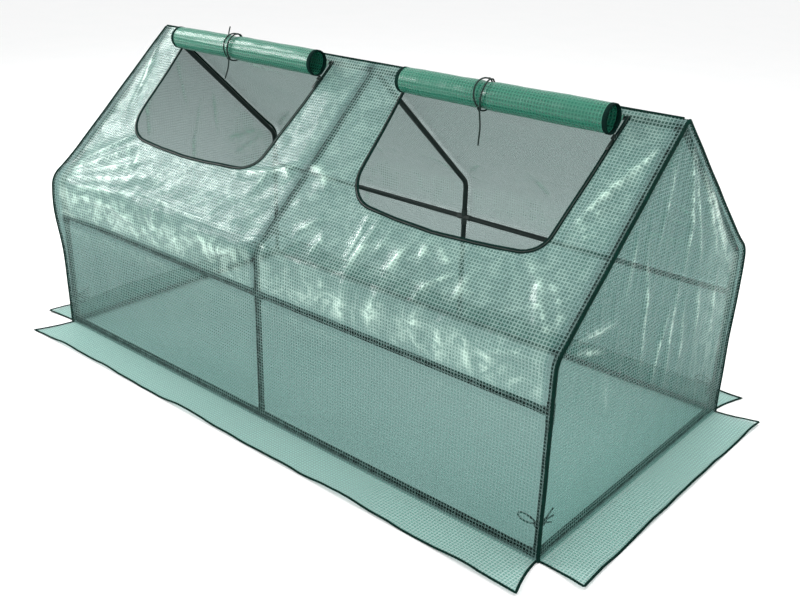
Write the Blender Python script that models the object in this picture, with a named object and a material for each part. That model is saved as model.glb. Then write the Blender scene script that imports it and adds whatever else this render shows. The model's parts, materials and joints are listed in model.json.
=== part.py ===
"""Low tunnel greenhouse: a push-fit tube frame under a film cover with two roll-up roof windows.

Metres, +Z up. The origin is on the ground, under the middle of the ridge. +X runs along the ridge
and the windows are in the -Y roof slope.
"""
import math

import bpy
import bmesh
from mathutils import Matrix, Vector

# Driving dimensions of the covered frame
LENGTH = 1.800          # outside of one end cover to the other
DEPTH = 0.900           # outside of the front wall to the back wall
APEX_Z = 0.897          # sharp ridge corner of the film's outer face
EAVE_Z = 0.485          # sharp eave corner of the film's outer face
EAVE_RADIUS = 0.055     # film's outer face round the eave
GAP = 0.0003            # air between pieces that touch

# Tube frame
TUBE_R = 0.008
BORE_R = 0.0073
HUB_R = 0.0092          # connector body, a little proud of the tube
SPIGOT_R = 0.0066
HUB_REACH = 0.024       # joint centre to the end of the connector's body
SPIGOT_REACH = 0.046    # joint centre to the end of a spigot
STAND_OFF = 0.0135      # film's outer face to the tube's centre line
RIDGE_Z = 0.875
RAIL_Z = 0.361
BASE_Z = 0.0094
TUBE_EAVE_Z = 0.475     # sharp corner of the roof tube's centre line
BEND_R = 0.045
TUBE_SIDES = 12

# Film cover
FILM = 0.001
WALL_BOTTOM = FILM + GAP
PIPING_R = 0.003
PIPING_INSET = 0.002    # film's outer faces to the centre of the piping
PIPING_APEX_R = 0.004   # how the piping turns over the ridge
SEAM_CLEAR = PIPING_R + PIPING_INSET + 0.0004
SKIRT_WIDTH = 0.120
SKIRT_SHORT = 0.0057    # how far each end of a skirt stops short of its wall's end
SKIRT_FLARE = 0.030     # how much further each end of a skirt reaches at its outer edge

# Windows, on the front slope: across is along X, down is the distance from the ridge
WINDOW_X = 0.453
WINDOW_TOP = 0.022
WINDOW_TOP_HALF = 0.312
WINDOW_LOW = 0.400
WINDOW_LOW_HALF = 0.283
WINDOW_SAG = 0.022
WINDOW_CORNER_R = 0.085
TAPE_WIDTH = 0.006
TAPE_THICK = 0.003

# Rolled flap
ROLL_HALF = 0.300
ROLL_R = 0.035
ROLL_DOWN = 0.060
ROLL_OUT = 0.024
ROLL_PITCH = 0.0022
ROLL_TURNS = 2.0

# Ties, zip slider and pull
TIE_R = 0.002
TIE_TRACK_R = ROLL_R + FILM / 2 + TIE_R + 0.0007
TIE_APART = 0.0035      # each of a tie's two cords from the tie's middle
TIE_SHIFT = -0.040      # the tie's middle from the window's middle
KNOT_ANGLE = -5.0
KNOT_R = 0.0046
TAIL_LENGTH = 0.085
SLIDER = (0.009, 0.013, 0.0045)
SLIDER_DOWN = 0.085
PULL = (0.006, 0.026, 0.0014)
PULL_CLEAR = 0.0010     # slider to the pull's near end, room for its corner to turn

HALF_LENGTH = LENGTH / 2
HALF_DEPTH = DEPTH / 2
FRAME_X = HALF_LENGTH - STAND_OFF
FRAME_Y = HALF_DEPTH - STAND_OFF
FRAMES = {"left": -FRAME_X, "mid": 0.0, "right": FRAME_X}
SIDES = {"front": -1.0, "back": 1.0}
SLOPE = math.atan2(APEX_Z - EAVE_Z, HALF_DEPTH)


# ---------------------------------------------------------------- materials and objects

def material(name, colour, roughness, metallic=0.0, alpha=1.0):
    made = bpy.data.materials.new(name)
    made.use_nodes = True
    shader = made.node_tree.nodes["Principled BSDF"]
    shader.inputs["Base Color"].default_value = (*colour, 1.0)
    shader.inputs["Roughness"].default_value = roughness
    shader.inputs["Metallic"].default_value = metallic
    shader.inputs["Alpha"].default_value = alpha
    return made


def finishes():
    return {
        "tube": material("tube_paint", (0.010, 0.022, 0.017), 0.38),
        "joint": material("joint_plastic", (0.012, 0.020, 0.016), 0.5),
        "film": material("cover_film", (0.28, 0.55, 0.47), 0.25, alpha=0.5),
        "binding": material("binding_tape", (0.008, 0.045, 0.030), 0.7),
        "roll": material("flap_film", (0.10, 0.42, 0.30), 0.25),
        "cord": material("tie_cord", (0.006, 0.025, 0.018), 0.8),
        "zip": material("zip_metal", (0.020, 0.040, 0.032), 0.4, metallic=0.6),
    }


def object_from(mesh_data, name, finish):
    made = bpy.data.objects.new(name, mesh_data)
    bpy.context.scene.collection.objects.link(made)
    made.data.materials.clear()
    made.data.materials.append(finish)
    return made


def object_of(bm, name, finish, smooth=False):
    """A new object from a bmesh, with its faces pointing out."""
    bmesh.ops.recalc_face_normals(bm, faces=bm.faces)
    data = bpy.data.meshes.new(name)
    bm.to_mesh(data)
    bm.free()
    if smooth:
        data.shade_smooth()
        data.set_sharp_from_angle(angle=math.radians(40))
    return object_from(data, name, finish)


def boolean(target, cutter, operation):
    """Apply a Boolean for good and remove the second shape."""
    step = target.modifiers.new(operation.lower(), "BOOLEAN")
    step.operation = operation
    step.solver = "EXACT"
    step.object = cutter
    bpy.context.view_layer.update()
    evaluated = target.evaluated_get(bpy.context.evaluated_depsgraph_get())
    result = bpy.data.meshes.new_from_object(evaluated)
    target.modifiers.clear()
    target.data = result
    bpy.data.objects.remove(cutter)


# ---------------------------------------------------------------- shape helpers

def rounded(points, closed=True, step=math.radians(15)):
    """An outline through (x, y, radius) corners, each corner turned as an arc of its radius."""
    outline = []
    count = len(points)
    for i, (x, y, radius) in enumerate(points):
        corner = Vector((x, y))
        if radius == 0 or (not closed and i in (0, count - 1)):
            outline.append(corner)
            continue
        before = (Vector(points[i - 1][:2]) - corner).normalized()
        after = (Vector(points[(i + 1) % count][:2]) - corner).normalized()
        half = before.angle(after) / 2
        centre = corner + (before + after).normalized() * radius / math.sin(half)
        start = corner + before * radius / math.tan(half) - centre
        end = corner + after * radius / math.tan(half) - centre
        turn = start.angle_signed(end)
        pieces = max(2, math.ceil(abs(turn) / step))
        for k in range(pieces + 1):
            outline.append(centre + Matrix.Rotation(-turn * k / pieces, 2) @ start)
    return outline


def offset_path(points, distance):
    """An open path moved sideways by distance, to its left."""
    moved = []
    for i, point in enumerate(points):
        ahead = (points[min(i + 1, len(points) - 1)] - point) if i < len(points) - 1 else None
        behind = (point - points[i - 1]) if i > 0 else None
        directions = [d.normalized() for d in (behind, ahead) if d is not None]
        normals = [Vector((-d.y, d.x)) for d in directions]
        mean = sum(normals, Vector((0, 0))).normalized()
        moved.append(point + mean * distance / mean.dot(normals[0]))
    return moved


def prism(outline, place, low, high, name, finish, smooth=False):
    """A closed solid: a flat outline run from low to high. place turns (a, b, c) into a point."""
    bm = bmesh.new()
    bottom = [bm.verts.new(place(p.x, p.y, low)) for p in outline]
    top = [bm.verts.new(place(p.x, p.y, high)) for p in outline]
    bm.faces.new(bottom)
    bm.faces.new(top)
    count = len(outline)
    for i in range(count):
        j = (i + 1) % count
        bm.faces.new((bottom[i], bottom[j], top[j], top[i]))
    return object_of(bm, name, finish, smooth)


def band(inner, outer, place, low, high, name, finish, smooth=False):
    """A closed solid between two matching open paths, run from low to high, as one strip of quads."""
    bm = bmesh.new()
    rings = []
    for a, b in zip(inner, outer):
        corners = ((a, low), (b, low), (b, high), (a, high))
        rings.append([bm.verts.new(place(p.x, p.y, level)) for p, level in corners])
    for first, second in zip(rings, rings[1:]):
        for i in range(4):
            j = (i + 1) % 4
            bm.faces.new((first[i], first[j], second[j], second[i]))
    bm.faces.new(rings[0])
    bm.faces.new(rings[-1])
    return object_of(bm, name, finish, smooth)


def ring_at(bm, centre, direction, side, radius, count):
    """A ring of vertices round a point, square to direction, with its first vertex towards side."""
    across = direction.cross(side).normalized()
    upright = across.cross(direction).normalized()
    turns = [2 * math.pi * k / count for k in range(count)]
    return [bm.verts.new(centre + radius * (math.cos(t) * upright + math.sin(t) * across))
            for t in turns]


def bridge(bm, first, second):
    count = len(first)
    for i in range(count):
        j = (i + 1) % count
        bm.faces.new((first[i], first[j], second[j], second[i]))


def path_rings(bm, path, side, radius, count):
    rings = []
    for i, point in enumerate(path):
        ahead = path[min(i + 1, len(path) - 1)] - path[max(i - 1, 0)]
        stretch = 1.0
        if 0 < i < len(path) - 1:
            half = (path[i + 1] - point).angle(point - path[i - 1]) / 2
            stretch = 1.0 / math.cos(half)
        rings.append(ring_at(bm, point, ahead.normalized(), side, radius * stretch, count))
    return rings


def tube(name, path, side, finish):
    """A hollow tube with open ends along a path in a plane square to side."""
    bm = bmesh.new()
    outer = path_rings(bm, path, side, TUBE_R, TUBE_SIDES)
    bore = path_rings(bm, path, side, BORE_R, TUBE_SIDES)
    for rings in (outer, bore):
        for first, second in zip(rings, rings[1:]):
            bridge(bm, first, second)
    bridge(bm, outer[0], bore[0])
    bridge(bm, outer[-1], bore[-1])
    return object_of(bm, name, finish, smooth=True)


def rod(name, path, side, radius, finish, sides=8):
    """A solid round rod along a path, with flat ends."""
    bm = bmesh.new()
    rings = path_rings(bm, path, side, radius, sides)
    for first, second in zip(rings, rings[1:]):
        bridge(bm, first, second)
    bm.faces.new(rings[0])
    bm.faces.new(rings[-1])
    return object_of(bm, name, finish, smooth=True)


# ---------------------------------------------------------------- places

def profile(inset, apex_radius=0):
    """The cover's section in the YZ plane, inset from its outer face, from front foot to back foot."""
    rise = inset / math.cos(SLOPE)
    bisector = inset * math.tan((math.pi / 2 - SLOPE) / 2)
    foot = HALF_DEPTH - inset
    eave = EAVE_Z - bisector
    radius = EAVE_RADIUS - inset
    corners = [(-foot, WALL_BOTTOM, 0), (-foot, eave, radius), (0, APEX_Z - rise, apex_radius),
               (foot, eave, radius), (foot, WALL_BOTTOM, 0)]
    return rounded(corners, closed=False)


def slope_place(across, down, out):
    """A point of the front slope: across along X, down from the ridge, out from the film's face."""
    y = -down * math.cos(SLOPE) - out * math.sin(SLOPE)
    z = APEX_Z - down * math.sin(SLOPE) + out * math.cos(SLOPE)
    return Vector((across, y, z))


def yz_place(y, z, x):
    return Vector((x, y, z))


def xy_place(x, y, z):
    return Vector((x, y, z))


def window_path(centre, grow, top):
    """The U of a window's edge, open at the top, from its left end round to its right end."""
    lean = (WINDOW_TOP_HALF - WINDOW_LOW_HALF) / (WINDOW_LOW - WINDOW_TOP)
    half_top = WINDOW_TOP_HALF - lean * (top - WINDOW_TOP) + grow
    half_low = WINDOW_LOW_HALF + grow
    low = WINDOW_LOW + grow
    corners = [(centre - half_top, top, 0), (centre - half_low, low, WINDOW_CORNER_R + grow),
               (centre, low + WINDOW_SAG, 1.4), (centre + half_low, low, WINDOW_CORNER_R + grow),
               (centre + half_top, top, 0)]
    return rounded(corners, closed=False, step=math.radians(15))


# ---------------------------------------------------------------- frame

def connector(name, centre, runs, side, finish):
    """A joint's body and its thinner spigots that enter the tubes. A run is one arm, or two in line."""
    made = None
    for direction, through in runs:
        bm = bmesh.new()
        along = direction.normalized()
        stations = [(HUB_REACH, HUB_R), (HUB_REACH, SPIGOT_R), (SPIGOT_REACH, SPIGOT_R)]
        behind = [(-d, r) for d, r in reversed(stations)] if through else [(0.0, HUB_R)]
        turned = side if abs(along.dot(side)) < 0.5 else Vector((0, 0, 1))
        rings = [ring_at(bm, centre + along * d, along, turned, r, TUBE_SIDES)
                 for d, r in behind + stations]
        for first, second in zip(rings, rings[1:]):
            bridge(bm, first, second)
        bm.faces.new(rings[0])
        bm.faces.new(rings[-1])
        run = object_of(bm, name, finish)
        if made is None:
            made = run
        else:
            boolean(made, run, "UNION")
    core = bmesh.new()
    bmesh.ops.create_uvsphere(core, u_segments=TUBE_SIDES, v_segments=6, radius=HUB_R * 1.02)
    bmesh.ops.rotate(core, verts=core.verts, matrix=Matrix.Rotation(0.3, 3, "X"))
    bmesh.ops.translate(core, verts=core.verts, vec=centre)
    boolean(made, object_of(core, "core", finish), "UNION")
    made.data.name = name
    made.name = name
    return made


def roof_line(side):
    """Centre line of a roof tube, from the ridge joint round the eave bend to the rail joint."""
    corners = [(0, RIDGE_Z, 0), (side * FRAME_Y, TUBE_EAVE_Z, BEND_R), (side * FRAME_Y, RAIL_Z, 0)]
    line = rounded(corners, closed=False)
    reach = HUB_REACH + GAP
    line[0] = line[0] + (line[1] - line[0]).normalized() * reach
    line[-1] = line[-1] + (line[-2] - line[-1]).normalized() * reach
    return line


def straight(start, end):
    """A straight centre line between two joints, short of both by the joint's body."""
    along = (end - start).normalized() * (HUB_REACH + GAP)
    return [start + along, end - along]


def build_frame(finish):
    along_x = Vector((1, 0, 0))
    up = Vector((0, 0, 1))
    for half, (near, far) in {"left": ("left", "mid"), "right": ("mid", "right")}.items():
        x0, x1 = FRAMES[near], FRAMES[far]
        ridge = straight(Vector((x0, 0, RIDGE_Z)), Vector((x1, 0, RIDGE_Z)))
        tube(f"ridge_tube_{half}", ridge, up, finish["tube"])
        for place, side in SIDES.items():
            y = side * FRAME_Y
            rail = straight(Vector((x0, y, RAIL_Z)), Vector((x1, y, RAIL_Z)))
            tube(f"wall_rail_{place}_{half}", rail, up, finish["tube"])
            base = straight(Vector((x0, y, BASE_Z)), Vector((x1, y, BASE_Z)))
            tube(f"base_rail_{place}_{half}", base, up, finish["tube"])
    for end in ("left", "right"):
        x = FRAMES[end]
        line = straight(Vector((x, -FRAME_Y, BASE_Z)), Vector((x, FRAME_Y, BASE_Z)))
        tube(f"base_end_{end}", line, up, finish["tube"])
    for name, x in FRAMES.items():
        inward = {"left": (along_x, False), "mid": (along_x, True), "right": (-along_x, False)}[name]
        slopes = [(Vector((0, side * FRAME_Y, TUBE_EAVE_Z - RIDGE_Z)), False)
                  for side in SIDES.values()]
        connector(f"ridge_joint_{name}", Vector((x, 0, RIDGE_Z)), slopes + [inward], along_x,
                  finish["joint"])
        for place, side in SIDES.items():
            y = side * FRAME_Y
            roof = [Vector((x, p.x, p.y)) for p in roof_line(side)]
            tube(f"roof_tube_{place}_{name}", roof, along_x, finish["tube"])
            leg = straight(Vector((x, y, BASE_Z)), Vector((x, y, RAIL_Z)))
            tube(f"leg_{place}_{name}", leg, along_x, finish["tube"])
            connector(f"rail_joint_{place}_{name}", Vector((x, y, RAIL_Z)), [(up, True), inward],
                      along_x, finish["joint"])
            across = [] if name == "mid" else [(Vector((0, -side, 0)), False)]
            connector(f"base_joint_{place}_{name}", Vector((x, y, BASE_Z)),
                      [(up, False), inward] + across, along_x, finish["joint"])


# ---------------------------------------------------------------- cover

def build_long_cover(place, finish):
    """A front or back sheet: wall, eave and roof slope in one piece."""
    outer = profile(0)
    inner = profile(FILM)
    middle = len(outer) // 2
    if place == "front":
        faces = (outer[:middle + 1], inner[:middle + 1])
    else:
        faces = (outer[:middle - 1:-1], inner[:middle - 1:-1])
    for face in faces:
        slope = (face[-2] - face[-1]).normalized()
        face[-1] = face[-1] + slope * SEAM_CLEAR * 1.2
    reach = HALF_LENGTH - SEAM_CLEAR
    sheet = band(faces[1], faces[0], yz_place, -reach, reach, f"cover_{place}", finish["film"])
    if place == "front":
        for centre in (-WINDOW_X, WINDOW_X):
            outline = window_path(centre, TAPE_WIDTH / 2 + GAP, WINDOW_TOP)
            cutter = prism(outline, slope_place, -0.02, 0.02, "cutter", finish["film"])
            boolean(sheet, cutter, "DIFFERENCE")
    return sheet


def build_covers(finish):
    for place in SIDES:
        build_long_cover(place, finish)
    outline = profile(SEAM_CLEAR, 3 * PIPING_APEX_R)
    for end, sign in (("left", -1), ("right", 1)):
        faces = (sign * (HALF_LENGTH - FILM), sign * HALF_LENGTH)
        prism(outline, yz_place, *faces, f"cover_end_{end}", finish["film"])


def build_skirts(finish):
    inner_y = HALF_DEPTH + GAP
    inner_x = HALF_LENGTH + GAP
    long_half = HALF_LENGTH - SKIRT_SHORT
    short_half = HALF_DEPTH - SKIRT_SHORT
    reach = SKIRT_WIDTH - GAP
    panels = {
        "front": [(-long_half, -inner_y), (long_half, -inner_y),
                  (long_half + SKIRT_FLARE, -inner_y - reach),
                  (-long_half - SKIRT_FLARE, -inner_y - reach)],
        "right": [(inner_x, -short_half), (inner_x, short_half),
                  (inner_x + reach, short_half + SKIRT_FLARE / 2),
                  (inner_x + reach, -short_half - SKIRT_FLARE / 2)],
    }
    panels["back"] = [(-x, -y) for x, y in panels["front"]]
    panels["left"] = [(-x, -y) for x, y in panels["right"]]
    for side, corners in panels.items():
        outline = [Vector(c) for c in corners]
        prism(outline, xy_place, 0.0, FILM, f"skirt_{side}", finish["film"])


def build_piping(finish):
    """Round piping sewn into the two gable seams and the ridge seam."""
    line = profile(PIPING_INSET, PIPING_APEX_R)
    for end, sign in (("left", -1), ("right", 1)):
        x = sign * (HALF_LENGTH - PIPING_INSET)
        path = [Vector((x, p.x, p.y)) for p in line]
        rod(f"gable_piping_{end}", path, Vector((1, 0, 0)), PIPING_R, finish["binding"])
    reach = HALF_LENGTH - PIPING_INSET - PIPING_R - GAP * 2
    top = APEX_Z - PIPING_INSET / math.cos(SLOPE)
    ridge = [Vector((-reach, 0, top)), Vector((reach, 0, top))]
    rod("ridge_piping", ridge, Vector((0, 0, 1)), PIPING_R, finish["binding"])


# ---------------------------------------------------------------- windows

def roll_section():
    """The flap in the slope's plane: a web from its seam, then a spiral rolled outwards."""
    seam = Vector((WINDOW_TOP + GAP + FILM / 2, 0.0))
    centre = Vector((ROLL_DOWN, ROLL_OUT))
    back = seam - centre
    tangent = math.atan2(back.y, back.x) + math.acos(ROLL_R / back.length)
    path = [seam]
    steps = int(ROLL_TURNS * 20)
    for k in range(steps + 1):
        turn = 2 * math.pi * ROLL_TURNS * k / steps
        radius = ROLL_R - ROLL_PITCH * turn / (2 * math.pi)
        angle = tangent + turn
        path.append(centre + radius * Vector((math.cos(angle), math.sin(angle))))
    return path


def build_flap(name, centre, finish):
    path = roll_section()
    inner = offset_path(path, FILM / 2)
    outer = offset_path(path, -FILM / 2)

    def place(down, out, across):
        return slope_place(across, down, out)

    band(inner, outer, place, centre - ROLL_HALF, centre + ROLL_HALF, name, finish["roll"], True)


def round_roll(across, radius, start, end, steps):
    """Points round the flap's roll from one angle to another, in degrees."""
    points = []
    for k in range(steps + 1):
        angle = math.radians(start + (end - start) * k / steps)
        down = ROLL_DOWN + radius * math.cos(angle)
        out = ROLL_OUT + radius * math.sin(angle)
        points.append(slope_place(across, down, out))
    return points


def build_roll_tie(name, centre, finish):
    """Two cords sewn to the window's top, one over the roll and one under it, and the knot's tail."""
    left, right = centre - TIE_APART, centre + TIE_APART
    over = [slope_place(right, 0.0245, 0.0060)] + round_roll(right, TIE_TRACK_R, 165, KNOT_ANGLE, 12)
    knot = round_roll(centre, TIE_TRACK_R + KNOT_R - TIE_R, KNOT_ANGLE, KNOT_ANGLE, 1)[0]
    tail = [knot + Vector((0.003 * math.sin(k), 0, -TAIL_LENGTH * k / 6)) for k in range(7)]
    under = [slope_place(left, 0.0262, -0.0046)] + round_roll(left, TIE_TRACK_R, -106, KNOT_ANGLE, 7)
    side = Vector((1, 0, 0))
    ball = bmesh.new()
    bmesh.ops.create_uvsphere(ball, u_segments=10, v_segments=7, radius=KNOT_R)
    bmesh.ops.scale(ball, verts=ball.verts, vec=(1.6, 1.0, 1.0))
    bmesh.ops.translate(ball, verts=ball.verts, vec=knot)
    made = object_of(ball, name, finish["cord"])
    for path in (over, under, tail):
        boolean(made, rod("cord", path, side, TIE_R, finish["cord"]), "UNION")
    made.data.name = name
    made.name = name


def side_frame(centre):
    """Down the right side of a window: its start, its direction and the direction across it."""
    top = slope_place(centre + WINDOW_TOP_HALF, WINDOW_TOP, 0)
    low = slope_place(centre + WINDOW_LOW_HALF, WINDOW_LOW, 0)
    along = (low - top).normalized()
    out = slope_place(0, 0, 1) - slope_place(0, 0, 0)
    return top, along, along.cross(out).normalized(), out


def block(name, origin, axes, size, finish):
    """A small block from its middle underside: sizes across, along and out."""
    across, along, out = axes
    half_across, half_along = size[0] / 2, size[1] / 2
    outline = rounded([(-half_across, -half_along, 0.0015), (half_across, -half_along, 0.0015),
                       (half_across, half_along, 0.0015), (-half_across, half_along, 0.0015)],
                      step=math.radians(45))

    def place(a, b, c):
        return origin + across * a + along * b + out * c

    return prism(outline, place, 0.0, size[2], name, finish)


def build_zip(suffix, centre, finish):
    inner = window_path(centre, -TAPE_WIDTH / 2, WINDOW_TOP + GAP)
    outer = window_path(centre, TAPE_WIDTH / 2, WINDOW_TOP + GAP)
    low = -FILM / 2 - TAPE_THICK / 2
    band(inner, outer, slope_place, low, low + TAPE_THICK, f"zip_tape_{suffix}", finish["binding"])
    top, along, across, out = side_frame(centre)
    lift = low + TAPE_THICK + GAP
    slider_at = top + along * (SLIDER_DOWN - WINDOW_TOP) + out * lift
    block(f"zip_slider_{suffix}", slider_at, (across, along, out), SLIDER, finish["zip"])
    pull_at = slider_at + along * (SLIDER[1] / 2 + PULL_CLEAR + PULL[1] / 2)
    block(f"zip_pull_{suffix}", pull_at, (across, along, out), PULL, finish["zip"])


def build_windows(finish):
    for suffix, centre in (("left", -WINDOW_X), ("right", WINDOW_X)):
        build_zip(suffix, centre, finish)
        build_flap(f"flap_roll_{suffix}", centre, finish)
        build_roll_tie(f"roll_tie_{suffix}", centre + TIE_SHIFT, finish)


def build():
    for old in list(bpy.data.objects):
        bpy.data.objects.remove(old)
    finish = finishes()
    build_frame(finish)
    build_covers(finish)
    build_skirts(finish)
    build_piping(finish)
    build_windows(finish)


build()
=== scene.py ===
"""The looks of a mini greenhouse, a sewn green film cover on a tube frame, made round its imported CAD.

Metres, +Z up, +X along the ridge, the windows in the -Y roof slope. A place on a long cover is given by
across, its x, and by down, its distance from the ridge along the film. A side is -1 at the front and 1
at the back, and an end is -1 at the left and 1 at the right.
"""
import json
import math
import random

import bmesh
import bpy
import numpy as np
from mathutils import Matrix, Vector


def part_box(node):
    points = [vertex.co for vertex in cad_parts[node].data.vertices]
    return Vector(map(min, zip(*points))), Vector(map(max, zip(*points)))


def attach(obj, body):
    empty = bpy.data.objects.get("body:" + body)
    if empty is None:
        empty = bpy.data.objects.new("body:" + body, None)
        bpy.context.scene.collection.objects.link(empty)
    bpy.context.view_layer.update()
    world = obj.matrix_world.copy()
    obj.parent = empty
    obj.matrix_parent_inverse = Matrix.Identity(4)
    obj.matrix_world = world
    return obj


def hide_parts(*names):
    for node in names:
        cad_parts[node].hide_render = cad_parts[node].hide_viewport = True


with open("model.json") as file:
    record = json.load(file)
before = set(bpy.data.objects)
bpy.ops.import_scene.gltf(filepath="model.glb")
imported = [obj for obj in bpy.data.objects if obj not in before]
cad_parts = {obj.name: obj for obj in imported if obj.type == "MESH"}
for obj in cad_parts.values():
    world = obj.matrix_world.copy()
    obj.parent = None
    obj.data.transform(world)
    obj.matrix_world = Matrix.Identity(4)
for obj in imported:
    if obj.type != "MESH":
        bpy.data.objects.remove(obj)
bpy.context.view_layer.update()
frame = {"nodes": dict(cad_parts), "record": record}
slot_of = {part["node"]: part["material_slot"] for part in frame["record"]["subparts"]}

SIDES = {-1: "front", 1: "back"}
ENDS = {-1: "left", 1: "right"}

# The cover's shape, at the film's outer face
HALF_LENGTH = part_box("cover_end_right")[1].x
HALF_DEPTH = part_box("cover_back")[1].y
FOOT_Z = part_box("cover_front")[0].z
FRAME_X = sum(corner.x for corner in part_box("roof_tube_front_right")) / 2
FRAME_Y = sum(corner.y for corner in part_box("base_rail_back_left")) / 2
APEX_Z = 0.897
EAVE_Z = 0.485
EAVE_RADIUS = 0.055
SLOPE = math.atan2(APEX_Z - EAVE_Z, HALF_DEPTH)
EAVE_TURN = math.pi / 2 - SLOPE
EAVE_TANGENT = EAVE_RADIUS * math.tan(EAVE_TURN / 2)
ROOF = math.hypot(HALF_DEPTH, APEX_Z - EAVE_Z) - EAVE_TANGENT
WALL_START = ROOF + EAVE_RADIUS * EAVE_TURN
COVER = WALL_START + EAVE_Z - EAVE_TANGENT - FOOT_Z
RAIL_DOWN = COVER + FOOT_Z - sum(corner.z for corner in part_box("wall_rail_front_left")) / 2
SHEET_INSET = 0.0005    # from the film's outer face to the sheet that draws it
COVER_TOP = 0.0036      # how far below the ridge a long cover's cloth starts
CELL = 0.0055           # spacing of the long covers' mesh
GABLE_ROWS, GABLE_COLUMNS = 168, 150
GABLE_TOP = APEX_Z - 0.0045

# How the film lies over the tubes
TUBE_REST = 0.014       # how near a tube the film lies on it
TUBE_PRESS = 0.011      # the same on a gable, where it shows as clearer film
TUBE_INSET = 0.0135     # from the film's outer face to a tube's axis
TUBE_DEPTH = 0.0040     # the furthest that the film sinks over a tube
BAY_DEPTH = 0.020       # how much further it may sink between them
GABLE_DEPTH = 0.012
PRESSED = 0.6           # how much clearer the film is where a tube presses it

# How the film sags, crumples and creases. A crumple has a facet's size and its height.
FILM_SLACK = 0.0032
ROOF_SAG, WALL_SAG, EAVE_SAG = 0.0075, 0.0040, 0.0060
FACETS = (0.075, 0.0011)
FINE_FACETS = (0.026, 0.0005)
SWELLS = (0.16, 0.0022)
GABLE_SAG, GABLE_SLACK = 0.0075, 0.0015
GABLE_FACETS = (0.09, 0.0016)
GABLE_FINE_FACETS = (0.034, 0.0006)
ROLL_FACETS = (0.06, 0.0005)
COVER_SEEDS = {-1: 11, 1: 23}
GABLE_SEEDS = {-1: 47, 1: 31}
ROLL_SEEDS = {"left": 61, "right": 67}
FIRST_SKIRT_SEED = 71
SEAM_SLACK = {(-1, -1): 0.017, (-1, 1): 0.003, (1, 1): 0.013, (1, -1): 0.009}     # by side and end
SEAM_SLACK_DOWN, SEAM_SLACK_REACH = 0.69, 0.11
BACK_PAINTED_SHEEN = 0.35        # how much of the painted sheen the back cover gets beside the front
PAINTED_SHEEN_POWER = 2.4       # how sharply the painted highlight along a fold keeps to its crest
PAINTED_SHEEN_HEIGHT = 0.0075   # the height of a fold that gets the whole painted highlight along it
# the same for a gable's folds, whose painted highlight stands in for reflections
GABLE_PAINTED_SHEEN_HEIGHT = 0.0055

# Seams
PATH_SPACING = 0.006
PIPING_INSET = 0.002
GABLE_PIPING_R = 0.0042
RIDGE_PIPING_R = 0.00345
PIPING_REACH = HALF_LENGTH - 0.005

# Windows and their rolled flaps
WINDOWS = {"left": -0.453, "right": 0.453}
WINDOW_TOP = 0.022
WINDOW_TOP_HALF = 0.312
WINDOW_LOW = 0.400
WINDOW_LOW_HALF = 0.283
WINDOW_SAG = 0.022
WINDOW_CORNER_R = 0.085
TAPE_WIDTH, TAPE_THICK = 0.0108, 0.0018
TOOTH = [(-0.0011, 0.0), (0.0011, 0.0), (0.0011, 0.0009), (-0.0011, 0.0009)]
TOOTH_HALF = 0.0007
TOOTH_ASIDE = 0.0018    # from the tape's middle line to the teeth
TOOTH_SPACING = 0.0024
ROLL_HALF = 0.300
ROLL_R = 0.035
ROLL_DOWN, ROLL_OUT = 0.056, 0.030      # its centre, below the ridge and out from the film
ROLL_TURNS = 2.02
ROLL_COLUMNS = 121
FLAP_THICK = 0.0024     # how much the roll shrinks at each turn
FLAP_SPACING = 0.0035
FLAP_BINDING_WIDTH, FLAP_BINDING_THICK = 0.011, 0.0019
FLAP_BINDING_INSET = 0.0045

# Cords
CORD_SPACING = 0.003
TIE_SHIFT = -0.040      # of a roll's tie from the middle of its window
TIE_R = 0.002
TIE_TRACK_R = 0.0382    # from the roll's centre to the cord's
TIE_APART = 0.0035
ROLL_KNOT, CORNER_KNOT = 0.0042, 0.0044
ROLL_TIES = {"left": (0.005, 0.052, -0.016),    # spread of its turns, and its end's drop and lean
             "right": (0.009, 0.080, 0.006)}
ROLL_TIE_END = [(-0.002, 0, -0.003), (-0.003, 0.002, 0.008), (-0.001, 0.003, 0.017),
                (0.004, 0.002, 0.026)]
CORNER_TIE_Z = 0.088
CORNER_TIE_R = 0.0021
CORNER_TIE_TRACK_R = 0.0106
CORNER_TIE_LOOP = [(0, 0.0010), (0.010, 0.0065), (0.026, 0.0100), (0.040, 0.0070), (0.044, 0.0),
                   (0.038, -0.0065), (0.022, -0.0085), (0.008, -0.0060), (0, -0.0034)]
CORNER_TIE_ENDS = {"end_high": [(0.001, 0.003), (0.014, 0.007), (0.034, 0.016)],
                   "end_middle": [(0.002, -0.001), (0.018, -0.002), (0.038, -0.005)],
                   "end_low": [(0.001, -0.005), (0.013, -0.011), (0.030, -0.019)]}

# Skirts
SKIRT_WIDTH = 0.120
SKIRT_UNDER = 0.0020    # how far a skirt starts under its wall
SKIRT_SHORT = 0.0057
SKIRT_FLARE = 0.030
SKIRT_WAVES = (0.52, 0.31, 0.19, 0.11)
SKIRT_SPACING = 0.007
SKIRT_ROWS = 19
RIM_STEPS = 20
SKIRT_BINDING_WIDTH, SKIRT_BINDING_THICK = 0.0062, 0.0024

# Film weave
WEAVE = 0.0085
THREAD = 0.0030
THREAD_BLUR = 0.16
# the whitish colour of the painted sheen, which stands in for reflections
PAINTED_SHEEN_COLOUR = (0.44, 0.63, 0.54)
PAINTED_SHEEN_SHARE = 0.45      # how much more of what is behind the film hides where sheen is painted
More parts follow.
